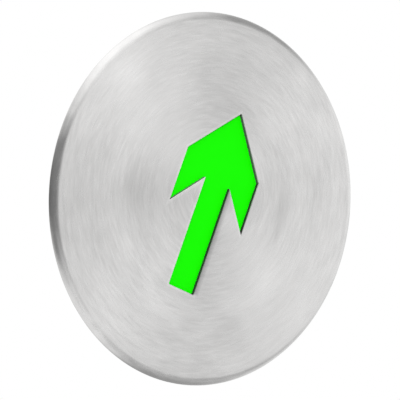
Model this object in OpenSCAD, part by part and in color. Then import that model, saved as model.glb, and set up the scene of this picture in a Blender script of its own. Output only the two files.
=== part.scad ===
// Round stainless sign plate with a recessed green direction arrow, held to a wall by a foam tape disc.
// Millimetres, +Z up along the arrow, front face towards -Y, origin in the middle of the wall face.

/* [Plate] */
// Diameter of the steel plate
plate_d = 100; // [70:1:200]
// Thickness of the steel plate
plate_t = 1.5; // [1.3:0.1:3]
// Radius that rounds the plate's front edge
edge_r = 2.5; // [1:0.1:6]
// Straight wall left behind the rounded edge
edge_land = 0.2; // [0.1:0.05:0.6]

/* [Arrow] */
// Length of the arrow, tip to tail
arrow_l = 50.6; // [40:0.1:80]
// Distance that the arrow's middle lies below the plate's centre
arrow_drop = 0.4; // [0:0.1:5]
// Width over the arrow's head
head_w = 25.6; // [16:0.1:40]
// Upright length of the head's outer sides
head_side = 15; // [6:0.1:20]
// Slope of the head's edges
head_angle = 49.7; // [35:0.1:60]
// Width of the arrow's shaft
shaft_w = 8.6; // [4:0.1:12]

/* [Recess] */
// Depth of the recess cut into the plate
recess_depth = 1.1; // [0.5:0.05:1.1]
// Thickness of the green fill on the recess floor
fill_t = 0.1; // [0.05:0.05:0.4]

/* [Foam tape] */
// Thickness of the self-adhesive foam tape disc
tape_t = 1; // [0.5:0.1:2]
// Distance that the tape disc stays inside the plate's edge
tape_margin = 5; // [2:0.5:20]

/* [Hidden] */
$fn = 240;
// How far a cutter runs past the face that it cuts
cut_over = 1;

plate_r = plate_d / 2;
front_z = tape_t + plate_t;
recess_z = front_z - recess_depth;

// Depth and width of the rounded edge, which ends at the straight wall
edge_h = min(edge_r, plate_t - edge_land);
edge_w = sqrt(edge_r * edge_r - (edge_r - edge_h) * (edge_r - edge_h));
face_r = plate_r - edge_w;

// Heights of the arrow's corners above the plate's centre
head_slope = tan(head_angle);
tip_y = arrow_l / 2 - arrow_drop;
tail_y = tip_y - arrow_l;
shoulder_y = tip_y - head_w / 2 * head_slope;
barb_y = shoulder_y - head_side;
notch_y = barb_y + (head_w - shaft_w) / 2 * head_slope;

// One side of the arrow's outline from the tip down to the tail
arrow_side = [
    [head_w / 2, shoulder_y],
    [head_w / 2, barb_y],
    [shaft_w / 2, notch_y],
    [shaft_w / 2, tail_y]
];

// Stands what is drawn lying down upright, with its top to the front
module stand_up() {
    rotate([90, 0, 0]) children();
}

// Arrow pointing along +Y, its right side and then its left side mirrored
module arrow_outline() {
    last = len(arrow_side) - 1;
    left_side = [for (i = [last:-1:0]) [-arrow_side[i][0], arrow_side[i][1]]];
    polygon(concat([[0, tip_y]], arrow_side, left_side));
}

// Half section of the plate, radius along X and height above its back along Y
module plate_section() {
    difference() {
        square([plate_r, plate_t]);
        difference() {
            translate([face_r, plate_t - edge_h])
                square([edge_w + cut_over, edge_h + cut_over]);
            translate([face_r, plate_t - edge_r])
                circle(r = edge_r);
        }
    }
}

module sign_plate() {
    color("silver") stand_up() difference() {
        translate([0, 0, tape_t])
            rotate_extrude() plate_section();
        translate([0, 0, recess_z])
            linear_extrude(height = recess_depth + cut_over) arrow_outline();
    }
}

module arrow_fill() {
    color([0.09, 0.996, 0]) stand_up()
        translate([0, 0, recess_z])
            linear_extrude(height = fill_t) arrow_outline();
}

module tape_disc() {
    color("dimgray") stand_up()
        cylinder(r = plate_r - tape_margin, h = tape_t);
}

sign_plate();
arrow_fill();
tape_disc();
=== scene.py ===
"""A round stainless emergency exit sign with a recessed green arrow, dressed over its CAD frame.

Metres, +Z up along the arrow, front face towards -Y, origin in the middle of the wall face.
"""

import math

import bmesh
import bpy
from mathutils import Matrix, Vector


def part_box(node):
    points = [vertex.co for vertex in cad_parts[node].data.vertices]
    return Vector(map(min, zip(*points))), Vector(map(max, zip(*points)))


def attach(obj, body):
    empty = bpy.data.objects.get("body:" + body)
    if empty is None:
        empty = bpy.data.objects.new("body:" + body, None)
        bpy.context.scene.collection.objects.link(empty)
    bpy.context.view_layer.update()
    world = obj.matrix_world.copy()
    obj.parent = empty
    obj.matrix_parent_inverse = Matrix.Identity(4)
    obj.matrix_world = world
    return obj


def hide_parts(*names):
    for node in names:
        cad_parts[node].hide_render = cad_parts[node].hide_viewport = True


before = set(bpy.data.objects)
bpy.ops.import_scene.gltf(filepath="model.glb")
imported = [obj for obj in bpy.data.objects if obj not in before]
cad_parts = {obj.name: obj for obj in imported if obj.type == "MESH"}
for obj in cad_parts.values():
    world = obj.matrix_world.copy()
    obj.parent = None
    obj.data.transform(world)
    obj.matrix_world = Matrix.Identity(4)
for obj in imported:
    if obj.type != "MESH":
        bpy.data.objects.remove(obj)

bl_info = {
    "name": "Emergency exit sign",
    "version": (1, 0, 0),
    "blender": (4, 5, 0),
    "location": "3D View > Sidebar > Exit sign",
    "description": "Builds a round satin steel sign plate with a recessed green arrow",
    "category": "Object",
}

MM = 0.001
CENTRE = Vector((0.0, 0.0, 0.0))
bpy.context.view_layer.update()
PLATE_LOW, PLATE_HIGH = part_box("sign_plate")
ARROW_LOW, ARROW_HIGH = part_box("arrow_fill")
TAPE_LOW, TAPE_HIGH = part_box("tape_disc")

# Number of straight sides of the round shapes, and of steps over each rounding
PLATE_SIDES = 288
TAPE_SIDES = 192
CARD_SIDES = 48
EDGE_STEPS = 12
MOUTH_STEPS = 4
CORNER_STEPS = 4
TAPE_EDGE_STEPS = 3
# Two places that are nearer than this are the same
NEAR = 0.01 * MM
# How far the recess's cutter stands in front of the plate
CUT_OVER = 1.0 * MM
# Width of the picture's frame and the camera's shift to the right and up, in pixels
FRAME_WIDTH = 400
SHIFT_RIGHT = -12.37
SHIFT_UP = -0.68
# Length of the floor's sides in metres
FLOOR_SIZE = 24
# Values between which most of a noise pattern lies
NOISE_LOW, NOISE_HIGH = 0.3, 0.7
# Soft patches in the brushing: x and z of the middle, half width and height in mm, change of tone
TONE_PATCHES = (
    (-39, 20, 11, 12, 0.11),
    (-24, -7, 9, 10, -0.09),
    (-6, 27, 16, 9, -0.08),
    (23, 5, 5, 12, -0.10),
    (-2, -32, 12, 7, 0.09),
    (18, -30, 9, 8, -0.08),
    (23, -14, 10, 9, 0.06),
)


# Sizes, colours and stage settings


class SignSizes(bpy.types.PropertyGroup):
    """Sizes of the plate, its arrow and its tape"""

    plate_radius: bpy.props.FloatProperty(
        name="Plate radius",
        description="Outer radius of the steel plate",
        default=PLATE_HIGH.z,
        subtype="DISTANCE",
        unit="LENGTH",
    )
    edge_radius: bpy.props.FloatProperty(
        name="Edge radius",
        description="Radius that rounds the plate's front edge",
        default=2.5 * MM,
        subtype="DISTANCE",
        unit="LENGTH",
    )
    edge_land: bpy.props.FloatProperty(
        name="Edge land",
        description="Straight wall left behind the rounded edge",
        default=0.2 * MM,
        subtype="DISTANCE",
        unit="LENGTH",
    )
    edge_break: bpy.props.FloatProperty(
        name="Edge break",
        description="Fine break along the plate's back edge",
        default=0.06 * MM,
        subtype="DISTANCE",
        unit="LENGTH",
    )
    mouth_round: bpy.props.FloatProperty(
        name="Mouth round",
        description="Radius that rounds the mouth of the recess",
        default=0.2 * MM,
        subtype="DISTANCE",
        unit="LENGTH",
    )
    head_side: bpy.props.FloatProperty(
        name="Head side",
        description="Upright length of the arrow head's outer sides",
        default=15.0 * MM,
        subtype="DISTANCE",
        unit="LENGTH",
    )
    head_angle: bpy.props.FloatProperty(
        name="Head angle",
        description="Slope of the arrow head's edges",
        default=math.radians(49.7),
        subtype="ANGLE",
        unit="ROTATION",
    )
    shaft_width: bpy.props.FloatProperty(
        name="Shaft width",
        description="Width of the arrow's shaft",
        default=8.6 * MM,
        subtype="DISTANCE",
        unit="LENGTH",
    )
    corner_radius: bpy.props.FloatProperty(
        name="Corner radius",
        description="How far the cutter's rounding reaches along the arrow's sides from a corner",
        default=0.12 * MM,
        subtype="DISTANCE",
        unit="LENGTH",
    )
    enamel_creep: bpy.props.FloatProperty(
        name="Enamel creep",
        description="How far the enamel's rim creeps up the recess's walls",
        default=0.05 * MM,
        subtype="DISTANCE",
        unit="LENGTH",
    )
    tape_edge: bpy.props.FloatProperty(
        name="Tape edge",
        description="Rounding along the tape's two edges",
        default=0.15 * MM,
        subtype="DISTANCE",
        unit="LENGTH",
    )


class SignColours(bpy.types.PropertyGroup):
    """Colours of the steel, the enamel and the tape"""

    steel: bpy.props.FloatVectorProperty(
        name="Steel",
        description="Colour of the satin stainless steel",
        default=(0.725, 0.72, 0.715),
        subtype="COLOR",
        min=0.0,
        max=1.0,
    )
    cut_wall: bpy.props.FloatVectorProperty(
        name="Cut wall",
        description="Colour of the recess's darkened walls",
        default=(0.03, 0.03, 0.03),
        subtype="COLOR",
        min=0.0,
        max=1.0,
    )
    enamel: bpy.props.FloatVectorProperty(
        name="Enamel",
        description="Colour of the arrow's green fill",
        default=(0.0086, 0.99, 0.0),
        subtype="COLOR",
        min=0.0,
        max=1.0,
    )
    foam: bpy.props.FloatVectorProperty(
        name="Foam",
        description="Colour of the foam tape",
        default=(0.13, 0.13, 0.135),
        subtype="COLOR",
        min=0.0,
        max=1.0,
    )


class SignStage(bpy.types.PropertyGroup):
    """Camera and light settings"""

    view_turn: bpy.props.FloatProperty(
        name="View turn",
        description="How far the camera stands to the left of straight in front",
        default=math.radians(36.46),
        subtype="ANGLE",
        unit="ROTATION",
    )
    view_rise: bpy.props.FloatProperty(
        name="View rise",
        description="How far the camera stands above the disc's middle",
        default=math.radians(2.11),
        subtype="ANGLE",
        unit="ROTATION",
    )
    lean: bpy.props.FloatProperty(
        name="Lean",
        description="How far the arrow leans to the right of upright in the picture",
        default=math.radians(23.35),
        subtype="ANGLE",
        unit="ROTATION",
    )
    view_distance: bpy.props.FloatProperty(
        name="View distance",
        description="Distance from the camera to the middle of the plate's face",
        default=453.5 * MM,
        subtype="DISTANCE",
        unit="LENGTH",
    )
    lens: bpy.props.FloatProperty(
        name="Lens",
        description="Focal length in millimetres on a 36 mm sensor",
        default=152.57,
    )
    room_light: bpy.props.FloatProperty(
        name="Room light",
        description="Even light on plain surfaces, where 1 shows a colour as it is written",
        default=0.45,
    )
    lamp_light: bpy.props.FloatProperty(
        name="Lamp light",
        description="Level that each soft lamp adds on a plain surface that faces it",
        default=0.70,
    )
    floor_drop: bpy.props.FloatProperty(
        name="Floor drop",
        description="How far the pale floor lies below the sign's middle",
        default=6.0,
        subtype="DISTANCE",
        unit="LENGTH",
    )


# Modelling helpers


def sizes():
    return bpy.context.scene.sign_sizes


def colours():
    return bpy.context.scene.sign_colours


def stage():
    return bpy.context.scene.sign_stage


def deselect():
    """Leaves edit mode and deselects every object, the CAD nodes included."""
    if bpy.context.object and bpy.context.object.mode != "OBJECT":
        bpy.ops.object.mode_set(mode="OBJECT")
    bpy.ops.object.select_all(action="DESELECT")


def choose(piece):
    """Makes one piece the only selected object and the active one."""
    deselect()
    bpy.context.view_layer.objects.active = piece
    piece.select_set(True)


def edit(piece, mode="VERT"):
    """Opens one piece in edit mode with nothing selected."""
    choose(piece)
    bpy.ops.object.mode_set(mode="EDIT")
    bpy.ops.mesh.select_mode(type=mode)
    bpy.ops.mesh.select_all(action="DESELECT")


def pick(piece, kind, test):
    """Selects the open piece's verts, edges or faces that pass the test, and only those."""
    shape = bmesh.from_edit_mesh(piece.data)
    bpy.ops.mesh.select_all(action="DESELECT")
    for item in [item for item in getattr(shape, kind) if test(item)]:
        item.select_set(True)
    shape.select_flush_mode()
    bmesh.update_edit_mesh(piece.data)


def middle(item):
    """Middle point of an edge or a face."""
    return sum((v.co for v in item.verts), Vector()) / len(item.verts)


def from_axis(point):
    """Distance of a point from the plate's own axis."""
    return math.hypot(point.x, point.z)


def new_piece(name):
    """Names the primitive that was just added and puts its place into its mesh."""
    piece = bpy.context.object
    piece.name = name
    piece.data.name = name
    bpy.ops.object.transform_apply(location=True, rotation=True, scale=True)
    return piece


def finish(piece, node, slot, *materials):
    """Smooths a piece, adds materials to it and puts it in the place of its CAD node."""
    choose(piece)
    bpy.ops.object.shade_smooth_by_angle(angle=math.radians(30))
    for material in materials:
        piece.data.materials.append(material)
    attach(piece, "root")
    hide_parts(node)


def widen_ring(old, new):
    """Extrudes the selected ring of edges from one (radius, depth) to the next."""
    bpy.ops.mesh.extrude_edges_move(TRANSFORM_OT_translate={"value": (0, new[1] - old[1], 0)})
    factor = new[0] / old[0]
    bpy.ops.transform.resize(value=(factor, 1, factor), center_override=CENTRE)


def arrow_solid(name, front, back, spread=0.0):
    """An upright arrow between two depths, with sharp corners, spread outwards all round."""
    s = sizes()
    slope = math.tan(s.head_angle)
    lift = spread / math.cos(s.head_angle)
    half_head = ARROW_HIGH.x + spread
    half_shaft = s.shaft_width / 2 + spread
    head_side = s.head_side + 2 * lift
    shoulder = ARROW_HIGH.z + lift - half_head * slope
    deselect()
    bpy.ops.mesh.primitive_cube_add(
        size=1,
        location=(0, (front + back) / 2, shoulder - head_side / 2),
        scale=(2 * half_head, back - front, head_side),
    )
    arrow = new_piece(name)
    edit(arrow)
    for x in (-half_shaft, 0.0, half_shaft):
        bpy.ops.mesh.select_all(action="SELECT")
        bpy.ops.mesh.bisect(plane_co=(x, 0, 0), plane_no=(1, 0, 0))
    for x in (0.0, half_shaft):
        pick(arrow, "verts", lambda v, x=x: abs(abs(v.co.x) - x) < NEAR)
        bpy.ops.transform.translate(value=(0, 0, (half_head - x) * slope))
    edit(arrow, "FACE")
    pick(arrow, "faces", lambda f: f.normal.z < -0.1 and abs(middle(f).x) < half_shaft)
    bpy.ops.mesh.extrude_region_move()
    bpy.ops.transform.resize(value=(1, 1, 0), center_override=(0, 0, ARROW_LOW.z - spread))
    bpy.ops.mesh.select_all(action="SELECT")
    bpy.ops.mesh.dissolve_limited(angle_limit=math.radians(0.5))
    bpy.ops.object.mode_set(mode="OBJECT")
    return arrow


def notch_height():
    """Height of the inner corners between the arrow's head and its shaft."""
    s = sizes()
    return ARROW_HIGH.z - s.head_side - s.shaft_width / 2 * math.tan(s.head_angle)


def is_arrow_corner(edge):
    """True for an edge between two sides of the arrow that face different ways."""
    one, other = (face.normal.copy() for face in edge.link_faces)
    if max(abs(one.y), abs(other.y)) > 0.98:
        return False
    one.y = other.y = 0.0
    return one.angle(other) > math.radians(20)


def round_corners(arrow):
    """Rounds the edges that run from front to back where the arrow's outline turns."""
    edit(arrow, "EDGE")
    pick(arrow, "edges", is_arrow_corner)
    radius = sizes().corner_radius
    bpy.ops.mesh.bevel(offset=radius, segments=CORNER_STEPS, offset_type="OFFSET")
    bpy.ops.object.mode_set(mode="OBJECT")


def edge_profile():
    """(radius, depth) of each ring from the flat face round the edge to the back."""
    face_margin, back_margin = 0.5 * MM, 1.0 * MM
    s = sizes()
    front, back = PLATE_LOW.y, PLATE_HIGH.y
    drop = min(s.edge_radius, back - front - s.edge_land)
    sweep = math.acos(1 - drop / s.edge_radius)
    face_radius = s.plate_radius - s.edge_radius * math.sin(sweep)
    rings = [(face_radius - face_margin, front)]
    for i in range(EDGE_STEPS + 1):
        turn = sweep * i / EDGE_STEPS
        radius = face_radius + s.edge_radius * math.sin(turn)
        depth = front + s.edge_radius * (1 - math.cos(turn))
        rings.append((radius, depth))
    rings.append((s.plate_radius, back - s.edge_break))
    rings.append((s.plate_radius - s.edge_break, back))
    rings.append((s.plate_radius - back_margin, back))
    return rings


# Materials


class Graph:
    """Short names for the nodes and links of one material."""

    def __init__(self, name):
        self.material = bpy.data.materials.new(name)
        self.material.use_nodes = True
        self.tree = self.material.node_tree
        self.shader = self.tree.nodes["Principled BSDF"]

    def node(self, kind, inputs=(), **settings):
        made = self.tree.nodes.new(kind)
        for key, value in settings.items():
            setattr(made, key, value)
        for key, value in dict(inputs).items():
            self.feed(value, made.inputs[key])
        return made

    def feed(self, value, socket):
        if isinstance(value, bpy.types.NodeSocket):
            self.tree.links.new(value, socket)
        else:
            socket.default_value = value

    def give(self, name, value):
        """Feeds one of the shader's own sockets."""
        self.feed(value, self.shader.inputs[name])

    def show_mix(self, share, one, other):
        """Shows a mix of two nodes' shaders as the material's surface."""
        inputs = {"Fac": share, 1: one.outputs[0], 2: other.outputs[0]}
        mix = self.node("ShaderNodeMixShader", inputs)
        self.feed(mix.outputs[0], self.tree.nodes["Material Output"].inputs["Surface"])

    def place(self):
        """Place of the point in its object's own frame."""
        return self.node("ShaderNodeTexCoord").outputs["Object"]

    def math(self, operation, a, b=0.0, c=0.0):
        return self.node("ShaderNodeMath", {0: a, 1: b, 2: c}, operation=operation).outputs[0]

    def largest(self, first, *others):
        for other in others:
            first = self.math("MAXIMUM", first, other)
        return first

    def product(self, first, *others):
        for other in others:
            first = self.math("MULTIPLY", first, other)
        return first

    def slanted(self, a, b, a_share, b_share, start):
        """A start value plus a share of each of two values."""
        second = self.math("MULTIPLY_ADD", b, b_share, start)
        return self.math("MULTIPLY_ADD", a, a_share, second)

    def vector_math(self, operation, a, b=(0, 0, 0)):
        return self.node("ShaderNodeVectorMath", {0: a, 1: b}, operation=operation)

    def vector(self, operation, a, b):
        return self.vector_math(operation, a, b).outputs["Vector"]

    def length(self, vector):
        return self.vector_math("LENGTH", vector).outputs["Value"]

    def split(self, vector):
        """The x, y and z of a vector."""
        parts = self.node("ShaderNodeSeparateXYZ", {0: vector})
        return [parts.outputs[i] for i in range(3)]

    def off_axis(self, place):
        """A point's place seen along the plate's own axis."""
        return self.vector("MULTIPLY", place, (1, 0, 1))

    def remap(self, value, low, high, new_low, new_high, **settings):
        inputs = {"Value": value, "From Min": low, "From Max": high}
        inputs.update({"To Min": new_low, "To Max": new_high})
        return self.node("ShaderNodeMapRange", inputs, **settings).outputs["Result"]

    def smooth_step(self, value, low, high):
        """0 at the low value and 1 at the high one, eased at both ends."""
        return self.remap(value, low, high, 0.0, 1.0, interpolation_type="SMOOTHSTEP")

    def noise(self, vector, scale, detail=2.0):
        inputs = {"Vector": vector, "Scale": scale, "Detail": detail, "Roughness": 0.5}
        return self.node("ShaderNodeTexNoise", inputs).outputs["Fac"]

    def vary(self, pattern, low, high):
        """A noise pattern stretched so that most of it lies between two values."""
        return self.remap(pattern, NOISE_LOW, NOISE_HIGH, low, high)

    def blend(self, start, *parts):
        """A start value plus each pattern's swing about its middle times its own weight."""
        total = start
        for pattern, weight in parts:
            swing = self.math("SUBTRACT", pattern, 0.5)
            total = self.math("MULTIPLY_ADD", swing, weight, total)
        return total

    def colour(self, plain, tone):
        """Gives the shader a plain colour that a pattern makes lighter and darker."""
        inputs = {0: tuple(plain), "Scale": tone}
        scaled = self.node("ShaderNodeVectorMath", inputs, operation="SCALE")
        self.give("Base Color", scaled.outputs["Vector"])

    def bump(self, height, strength, depth):
        inputs = {"Strength": strength, "Distance": depth, "Height": height}
        self.give("Normal", self.node("ShaderNodeBump", inputs).outputs["Normal"])


def brushing(graph, along, across, centre=(0, 0)):
    """Streaks drawn out round a centre given in mm, by repeats per metre along and across them."""
    away = (-centre[0] * MM, 0, -centre[1] * MM)
    x, y, z = graph.split(graph.vector("ADD", graph.place(), away))
    squares = graph.math("ADD", graph.product(x, x), graph.product(z, z))
    travel = graph.math("SUBTRACT", graph.math("SQRT", squares), y)
    stretched = (graph.product(x, along), graph.product(travel, across), graph.product(z, along))
    joined = graph.node("ShaderNodeCombineXYZ", enumerate(stretched))
    return graph.noise(joined.outputs["Vector"], 1.0)


def grain_with_painted_highlight_calm(graph, place):
    """How strongly the brushing shows: less in two light sectors opposite each other, a painted
    highlight that calms the grain where light falls.
    """
    usual, highlight_calm, turn = 1.13, 0.60, math.radians(150)
    middle_line = (math.cos(turn), 0, math.sin(turn))
    across = graph.vector_math("DOT_PRODUCT", place, middle_line).outputs["Value"]
    distance = graph.length(graph.off_axis(place))
    share = graph.math("DIVIDE", graph.math("ABSOLUTE", across), distance)
    return graph.remap(graph.smooth_step(share, 0.88, 0.98), 0.0, 1.0, usual, highlight_calm)


def middle_and_ring_tone(graph, place):
    """Tone that is duller in the middle of the face and rises and falls a little in rings."""
    dull_radius, bright_radius, ring_gap, ring_swing = 12 * MM, 31 * MM, 12 * MM, 0.014
    distance = graph.length(graph.off_axis(place))
    middle_tone = graph.remap(distance, dull_radius, bright_radius, 0.885, 0.985)
    past_bright = graph.math("SUBTRACT", distance, bright_radius)
    turn = graph.product(past_bright, 2 * math.pi / ring_gap)
    ring_tone = graph.math("MULTIPLY_ADD", graph.math("COSINE", turn), ring_swing, 1.0)
    return graph.product(middle_tone, ring_tone)


def tone_patches(graph, place):
    """Tone of the soft lighter and duller patches in the brushing."""
    total = 1.0
    for x, z, width, height, change in TONE_PATCHES:
        moved = graph.vector("ADD", place, (-x * MM, 0, -z * MM))
        scaled = graph.vector("MULTIPLY", moved, (1 / (width * MM), 0, 1 / (height * MM)))
        cover = graph.smooth_step(graph.length(scaled), 1.0, 0.0)
        total = graph.math("MULTIPLY_ADD", cover, change, total)
    return total


def painted_shade_beside_shaft(graph, place):
    """Tone of painted shade: a darker strip that runs down the shaft's right edge and fades out to
    the right.
    """
    deepest_shade, reach, tail_fade = 0.58, 1.7 * MM, 1.0 * MM
    half_shaft = sizes().shaft_width / 2
    x, _, z = graph.split(place)
    clear = graph.largest(
        graph.remap(x, half_shaft, half_shaft + reach, 0.0, 1.0),
        graph.math("LESS_THAN", x, 0.0),
        graph.math("GREATER_THAN", z, notch_height()),
        graph.remap(z, ARROW_LOW.z + tail_fade, ARROW_LOW.z, 0.0, 1.0),
    )
    return graph.remap(clear, 0.0, 1.0, deepest_shade, 1.0)


def painted_lip_highlight(graph, place):
    """Tone of a painted highlight: a light line round the recess and a lighter rounded mouth, on
    every side but those that face right.
    """
    highlight_line_gain, mouth_highlight_gain = 0.11, 0.15
    s = sizes()
    half_shaft, notch = s.shaft_width / 2, notch_height()
    rise, run = math.sin(s.head_angle), math.cos(s.head_angle)
    x, _, z = graph.split(place)
    half = graph.math("ABSOLUTE", x)
    past_tip = graph.slanted(half, z, rise, run, -ARROW_HIGH.z * run)
    past_side = graph.math("SUBTRACT", half, ARROW_HIGH.x)
    past_barb = graph.slanted(half, z, -rise, -run, half_shaft * rise + notch * run)
    past_shaft = graph.math("SUBTRACT", half, half_shaft)
    past_tail = graph.math("SUBTRACT", ARROW_LOW.z, z)
    head = graph.largest(past_tip, past_side, past_barb)
    shaft = graph.largest(past_tip, past_shaft, past_tail)
    away = graph.math("MINIMUM", head, shaft)
    in_notch = graph.product(
        graph.math("LESS_THAN", z, notch),
        graph.math("LESS_THAN", head, shaft),
        graph.math("LESS_THAN", half, ARROW_HIGH.x),
    )
    on_left = graph.math("LESS_THAN", x, 0.0)
    lit = graph.largest(on_left, in_notch, graph.math("GREATER_THAN", past_tail, 0.0))
    fade_in = graph.smooth_step(away, 0.1 * MM, 0.4 * MM)
    fade_out = graph.smooth_step(away, 0.9 * MM, 0.5 * MM)
    line = graph.product(fade_in, fade_out)
    mouth = graph.math("LESS_THAN", away, s.mouth_round)
    gain = graph.math("MULTIPLY_ADD", line, highlight_line_gain, graph.product(mouth, mouth_highlight_gain))
    return graph.math("MULTIPLY_ADD", lit, gain, 1.0)


def steel_material():
    """Satin stainless steel, brushed in short arcs about the plate's axis."""
    graph = Graph("satin_steel")
    place = graph.place()
    fine = brushing(graph, 300, 4200)
    crossing = brushing(graph, 260, 2400, centre=(2.2, -1.4))
    arcs = brushing(graph, 200, 1300, centre=(-1.8, 1.6))
    broad = brushing(graph, 110, 420)
    cloud = graph.noise(place, 80.0)
    swing = graph.blend(
        0.0, (fine, 0.10), (crossing, 0.22), (arcs, 0.22), (broad, 0.13), (cloud, 0.15)
    )
    # The brushing's swing is scaled by the grain strength, which paints a highlight's calm into
    # two sectors.
    tone = graph.math("MULTIPLY_ADD", swing, grain_with_painted_highlight_calm(graph, place), 1.0)
    # Painted shade beside the shaft and a painted highlight round the recess are multiplied into
    # the steel's colour here, with the ring and patch tones.
    for pattern in (middle_and_ring_tone, tone_patches, painted_shade_beside_shaft, painted_lip_highlight):
        tone = graph.product(tone, pattern(graph, place))
    graph.colour(colours().steel, tone)
    graph.give("Metallic", 1.0)
    graph.give("Roughness", graph.vary(crossing, 0.22, 0.28))
    graph.give("Anisotropic", 0.9)
    graph.give("Tangent", graph.off_axis(place))
    grooves = graph.blend(0.5, (fine, 0.5), (crossing, 0.7), (arcs, 0.7))
    graph.bump(grooves, strength=0.2, depth=0.02 * MM)
    return graph.material


def cut_wall_material():
    """Darkened metal on the walls of the recess."""
    graph = Graph("cut_wall")
    grain = graph.noise(graph.place(), 4000.0)
    # Painted light: the walls' colour is made lighter where they slope, as if they caught more
    # light.
    catch = graph.node("ShaderNodeAttribute", attribute_name="wall_light").outputs["Fac"]
    graph.colour(colours().cut_wall, graph.product(catch, graph.vary(grain, 0.8, 1.2)))
    graph.give("Roughness", graph.vary(grain, 0.55, 0.7))
    graph.give("Metallic", 0.0)
    graph.give("Specular IOR Level", 0.3)
    return graph.material


def enamel_material():
    """Bright green enamel, very even, with a faint flow in its surface."""
    graph = Graph("green_enamel")
    place = graph.place()
    flow = graph.noise(place, 220.0, detail=3.0)
    grain = graph.noise(place, 5200.0)
    graph.colour(colours().enamel, graph.vary(flow, 0.985, 1.0))
    graph.give("Roughness", graph.vary(grain, 0.42, 0.5))
    graph.give("Specular IOR Level", 0.04)
    graph.bump(flow, strength=0.1, depth=0.02 * MM)
    return graph.material


def foam_material():
    """Closed-cell foam tape with fine open bubbles on its cut side."""
    graph = Graph("foam_tape")
    place = graph.place()
    inputs = {"Vector": place, "Scale": 4200.0}
    cells = graph.node("ShaderNodeTexVoronoi", inputs, feature="SMOOTH_F1").outputs["Distance"]
    mottle = graph.noise(place, 300.0, detail=3.0)
    cell_tone = graph.remap(cells, 0.0, 0.6, 0.75, 1.1)
    graph.colour(colours().foam, graph.product(cell_tone, graph.vary(mottle, 0.92, 1.08)))
    graph.give("Roughness", graph.vary(mottle, 0.45, 0.6))
    graph.bump(cells, strength=0.4, depth=0.05 * MM)
    return graph.material


# Pieces


class OBJECT_OT_add_sign_plate(bpy.types.Operator):
    """Add the round steel plate with its rounded edge and its arrow recess"""

    bl_idname = "object.add_sign_plate"
    bl_label = "Add Sign Plate"
    bl_options = {"REGISTER", "UNDO"}

    def execute(self, context):
        rings = edge_profile()
        first_radius, first_depth = rings[0]
        deselect()
        bpy.ops.mesh.primitive_circle_add(
            vertices=PLATE_SIDES,
            radius=first_radius,
            fill_type="NGON",
            location=(0, first_depth, 0),
            rotation=(math.pi / 2, 0, 0),
        )
        plate = new_piece("steel_plate")
        edit(plate, "EDGE")
        pick(plate, "edges", lambda e: e.is_boundary)
        for old, new in zip(rings, rings[1:]):
            widen_ring(old, new)
        bpy.ops.mesh.edge_face_add()
        bpy.ops.object.mode_set(mode="OBJECT")
        self.cut_recess(plate)
        self.mark_walls(plate)
        finish(plate, "sign_plate", "satin_steel")
        self.flatten_face(plate)
        return {"FINISHED"}

    def recess_cutter(self):
        """An arrow that flares out in a small round where it leaves the plate's face."""
        face = PLATE_LOW.y
        radius = sizes().mouth_round
        cutter = arrow_solid("recess_cutter", face - CUT_OVER, face, radius)
        edit(cutter, "FACE")
        pick(cutter, "faces", lambda f: f.normal.y > 0.9)
        turns = [math.radians(90 * i / MOUTH_STEPS) for i in range(MOUTH_STEPS + 1)]
        for start, end in zip(turns, turns[1:]):
            bpy.ops.mesh.inset(
                thickness=radius * (math.sin(end) - math.sin(start)),
                depth=radius * (math.cos(start) - math.cos(end)),
            )
        bpy.ops.mesh.extrude_region_move(
            TRANSFORM_OT_translate={"value": (0, ARROW_HIGH.y - face - radius, 0)}
        )
        bpy.ops.object.mode_set(mode="OBJECT")
        round_corners(cutter)
        return cutter

    def cut_recess(self, plate):
        cutter = self.recess_cutter()
        choose(plate)
        bpy.ops.object.modifier_add(type="BOOLEAN")
        cut = plate.modifiers[-1]
        cut.operation = "DIFFERENCE"
        cut.solver = "EXACT"
        cut.object = cutter
        bpy.ops.object.modifier_apply(modifier=cut.name)
        bpy.data.objects.remove(cutter)

    def mark_walls(self, plate):
        """Gives the recess's walls their own material and marks the painted light that each wall's
        colour gets.
        """
        plate.data.materials.append(steel_material())
        plate.data.materials.append(cut_wall_material())
        reach = max(ARROW_HIGH.z, -ARROW_LOW.z) + 1.0 * MM
        wall_start = PLATE_LOW.y + 0.75 * sizes().mouth_round
        wall_end = PLATE_HIGH.y - 0.1 * MM
        for face in plate.data.polygons:
            inside = from_axis(face.center) < reach
            face.material_index = 1 if inside and wall_start < face.center.y < wall_end else 0
        catch = plate.data.attributes.new("wall_light", "FLOAT", "FACE")
        for face, value in zip(plate.data.polygons, catch.data):
            value.value = self.wall_light(face.normal.z)

    def wall_light(self, facing_up):
        """How much lighter a wall's colour is painted than an upright one's, as a sloping one
        catches more light.
        """
        if facing_up > 0.3:
            return 6.0
        if facing_up < -0.3:
            return 3.0
        return 1.0

    def flatten_face(self, plate):
        """Keeps the flat face's shading flat up to its rounded edges."""
        bpy.ops.object.modifier_add(type="WEIGHTED_NORMAL")
        weigh = plate.modifiers[-1]
        weigh.mode = "FACE_AREA"
        weigh.keep_sharp = True
        bpy.ops.object.modifier_apply(modifier=weigh.name)


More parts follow.
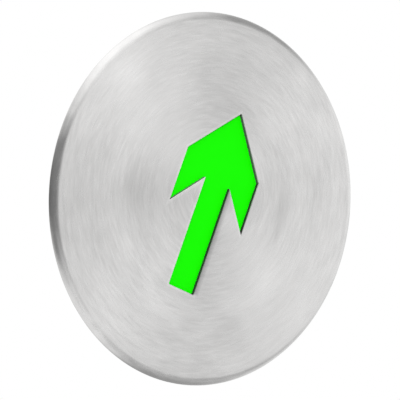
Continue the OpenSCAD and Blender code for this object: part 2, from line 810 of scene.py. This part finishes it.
class OBJECT_OT_add_arrow_enamel(bpy.types.Operator):
    """Add the green enamel on the floor of the recess"""

    bl_idname = "object.add_arrow_enamel"
    bl_label = "Add Arrow Enamel"
    bl_options = {"REGISTER", "UNDO"}

    def execute(self, context):
        enamel = arrow_solid("arrow_enamel", ARROW_LOW.y, ARROW_HIGH.y)
        edit(enamel, "FACE")
        pick(enamel, "faces", lambda f: f.normal.y < -0.9)
        for step in (0.20 * MM, 0.10 * MM):
            bpy.ops.mesh.inset(thickness=step, depth=0)
        self.raise_rim(enamel)
        round_corners(enamel)
        finish(enamel, "arrow_fill", "green_enamel", enamel_material())
        return {"FINISHED"}

    def raise_rim(self, enamel):
        """Lets the enamel creep a little up the recess's walls, as a poured fill does."""
        edit(enamel, "VERT")

        def on_rim(vert):
            walls = [f for f in vert.link_faces if abs(f.normal.y) < 0.5]
            return bool(walls) and abs(vert.co.y - ARROW_LOW.y) < NEAR

        pick(enamel, "verts", on_rim)
        bpy.ops.transform.translate(value=(0, -sizes().enamel_creep, 0))


class OBJECT_OT_add_foam_tape(bpy.types.Operator):
    """Add the self-adhesive foam tape disc behind the plate"""

    bl_idname = "object.add_foam_tape"
    bl_label = "Add Foam Tape"
    bl_options = {"REGISTER", "UNDO"}

    def execute(self, context):
        deselect()
        bpy.ops.mesh.primitive_cylinder_add(
            vertices=TAPE_SIDES,
            radius=TAPE_HIGH.z,
            depth=TAPE_HIGH.y - TAPE_LOW.y,
            location=(0, (TAPE_HIGH.y + TAPE_LOW.y) / 2, 0),
            rotation=(math.pi / 2, 0, 0),
        )
        tape = new_piece("foam_tape")
        edit(tape, "EDGE")
        pick(tape, "edges", lambda e: abs(e.verts[0].co.y - e.verts[1].co.y) < NEAR)
        bpy.ops.mesh.bevel(offset=sizes().tape_edge, segments=TAPE_EDGE_STEPS)
        bpy.ops.object.mode_set(mode="OBJECT")
        finish(tape, "tape_disc", "foam_tape", foam_material())
        return {"FINISHED"}


# Stage


def from_sign(turn, rise):
    """Direction from the sign, by the angles to the right of straight in front and upwards."""
    level = math.cos(rise)
    return Vector((math.sin(turn) * level, -math.cos(turn) * level, math.sin(rise)))


def facing_sign(back, distance, target=CENTRE):
    """Place of a camera, lamp or card that faces the sign, for directions in the picture."""
    picture_turn = Matrix.Rotation(-stage().lean, 4, "Y")
    looking_back = back.to_track_quat("Z", "Y").to_matrix().to_4x4()
    return picture_turn @ Matrix.Translation(target + back * distance) @ looking_back


def add_camera():
    data = bpy.data.cameras.new("camera")
    data.lens = stage().lens
    data.sensor_width = 36
    data.shift_x = SHIFT_RIGHT / FRAME_WIDTH
    data.shift_y = SHIFT_UP / FRAME_WIDTH
    camera = bpy.data.objects.new("camera", data)
    back = from_sign(-stage().view_turn, stage().view_rise)
    plate_face = Vector((0, PLATE_LOW.y, 0))
    camera.matrix_world = facing_sign(back, stage().view_distance, plate_face)
    bpy.context.scene.collection.objects.link(camera)
    bpy.context.scene.camera = camera


def shown_white(tree):
    """1 for the rays that show the white background, 0 for those that light plain surfaces."""
    path = tree.nodes.new("ShaderNodeLightPath")
    seen = path.outputs["Is Camera Ray"]
    for name in ("Is Glossy Ray", "Is Transmission Ray"):
        either = tree.nodes.new("ShaderNodeMath")
        either.operation = "MAXIMUM"
        tree.links.new(seen, either.inputs[0])
        tree.links.new(path.outputs[name], either.inputs[1])
        seen = either.outputs[0]
    return seen


def add_world():
    """White for what the camera and reflections see, and a plain light level for the rest."""
    world = bpy.data.worlds.new("world")
    world.use_nodes = True
    bpy.context.scene.world = world
    tree = world.node_tree
    tree.nodes.clear()
    mix = tree.nodes.new("ShaderNodeMixShader")
    tree.links.new(shown_white(tree), mix.inputs["Fac"])
    for strength, socket in ((stage().room_light, mix.inputs[1]), (1.0, mix.inputs[2])):
        light = tree.nodes.new("ShaderNodeBackground")
        light.inputs["Color"].default_value = (1, 1, 1, 1)
        light.inputs["Strength"].default_value = strength
        tree.links.new(light.outputs[0], socket)
    out = tree.nodes.new("ShaderNodeOutputWorld")
    tree.links.new(mix.outputs[0], out.inputs["Surface"])


def add_floor():
    """Pale floor well below the sign, which shows as white as the background."""
    deselect()
    bpy.ops.mesh.primitive_plane_add(size=FLOOR_SIZE, location=(0, 0, -stage().floor_drop))
    floor = new_piece("floor")
    graph = Graph("pale_floor")
    graph.give("Base Color", (0.8, 0.8, 0.8, 1))
    graph.give("Roughness", 0.9)
    glow = graph.node("ShaderNodeEmission", {"Strength": 1.0})
    graph.show_mix(shown_white(graph.tree), graph.shader, glow)
    floor.data.materials.append(graph.material)


def add_lamp(name, turn, rise, distance=3.0, size=1.0):
    """A soft round lamp that lights plain surfaces and isn't mirrored in the steel."""
    deselect()
    bpy.ops.object.light_add(type="AREA")
    lamp = bpy.context.object
    lamp.name = name
    lamp.data.shape = "DISK"
    lamp.data.size = size
    lamp.data.energy = stage().lamp_light * (math.pi * distance) ** 2
    lamp.matrix_world = facing_sign(from_sign(math.radians(turn), math.radians(rise)), distance)
    lamp.visible_camera = False
    lamp.visible_glossy = False


def card_material(name, light):
    """Even light or shade that fades out softly towards the card's edge."""
    graph = Graph(name)
    graph.tree.nodes.remove(graph.shader)
    cover = graph.smooth_step(graph.length(graph.place()), 1.0, 0.3)
    clear = graph.node("ShaderNodeBsdfTransparent")
    graph.show_mix(cover, clear, graph.node("ShaderNodeEmission", {"Strength": light}))
    return graph.material


def add_card(name, turn, rise, distance, size, tilt, light):
    """A soft card that the steel mirrors, placed in degrees about the sign as in the picture.

    The size is half the card's width and half its height for each metre of distance.
    """
    deselect()
    bpy.ops.mesh.primitive_circle_add(vertices=CARD_SIDES, radius=1, fill_type="NGON")
    card = bpy.context.object
    card.name = name
    width, height = size
    place = facing_sign(from_sign(math.radians(turn), math.radians(rise)), distance)
    roll = Matrix.Rotation(math.radians(tilt), 4, "Z")
    spread = Matrix.Diagonal((width * distance, height * distance, 1, 1))
    card.matrix_world = place @ roll @ spread
    card.data.materials.append(card_material(name, light))
    for ray in ("camera", "diffuse", "transmission", "volume_scatter", "shadow"):
        setattr(card, "visible_" + ray, False)


def add_cards():
    """Soft studio cards round the sign, dark and light, the farthest first."""
    add_card("floor_shade", 0, -88, 5.0, size=(1.55, 1.50), tilt=0, light=0.42)
    add_card("left_flag", -58, -6, 4.6, size=(1.80, 0.90), tilt=-65, light=0.25)
    add_card("front_flag", -18, 5, 4.2, size=(1.25, 0.50), tilt=-15, light=0.25)
    add_card("upper_right_flag", 73, 33, 3.8, size=(1.30, 0.50), tilt=20, light=0.42)
    add_card("lower_right_flag", 60, -23, 3.4, size=(1.50, 0.45), tilt=22, light=0.48)
    add_card("top_softbox", -17, 72, 3.0, size=(1.65, 0.65), tilt=-65, light=1.35)
    add_card("right_reflector", 77, -2, 2.6, size=(1.10, 0.60), tilt=12, light=1.10)
    add_card("low_reflector", -57, -58, 2.3, size=(1.15, 0.75), tilt=22, light=1.00)
    add_card("far_left_flag", -100, 6, 2.0, size=(1.05, 0.50), tilt=-5, light=0.18)


class OBJECT_OT_add_sign_stage(bpy.types.Operator):
    """Add the camera, the world, the pale floor, the lamps and the studio cards"""

    bl_idname = "object.add_sign_stage"
    bl_label = "Add Sign Stage"
    bl_options = {"REGISTER", "UNDO"}

    def execute(self, context):
        context.scene.view_settings.view_transform = "Standard"
        add_camera()
        add_world()
        add_floor()
        add_lamp("front_lamp", -32, 12)
        add_lamp("back_lamp", 140, 30)
        add_cards()
        return {"FINISHED"}


# Panel and registration


class VIEW3D_PT_exit_sign(bpy.types.Panel):
    """Sizes, colours and operators of the exit sign"""

    bl_idname = "VIEW3D_PT_exit_sign"
    bl_label = "Exit Sign"
    bl_space_type = "VIEW_3D"
    bl_region_type = "UI"
    bl_category = "Exit sign"

    def draw(self, context):
        layout = self.layout
        for group in (sizes(), colours(), stage()):
            box = layout.box()
            for name in group.__annotations__:
                box.prop(group, name)
        for operator in OPERATORS:
            layout.operator(operator.bl_idname)


OPERATORS = (
    OBJECT_OT_add_sign_plate,
    OBJECT_OT_add_arrow_enamel,
    OBJECT_OT_add_foam_tape,
    OBJECT_OT_add_sign_stage,
)
CLASSES = (SignSizes, SignColours, SignStage, *OPERATORS, VIEW3D_PT_exit_sign)


def register():
    for cls in CLASSES:
        bpy.utils.register_class(cls)
    bpy.types.Scene.sign_sizes = bpy.props.PointerProperty(type=SignSizes)
    bpy.types.Scene.sign_colours = bpy.props.PointerProperty(type=SignColours)
    bpy.types.Scene.sign_stage = bpy.props.PointerProperty(type=SignStage)


def unregister():
    del bpy.types.Scene.sign_stage
    del bpy.types.Scene.sign_colours
    del bpy.types.Scene.sign_sizes
    for cls in reversed(CLASSES):
        bpy.utils.unregister_class(cls)


def main():
    register()
    bpy.ops.object.add_sign_plate()
    bpy.ops.object.add_arrow_enamel()
    bpy.ops.object.add_foam_tape()
    bpy.ops.object.add_sign_stage()


if __name__ == "__main__":
    main()
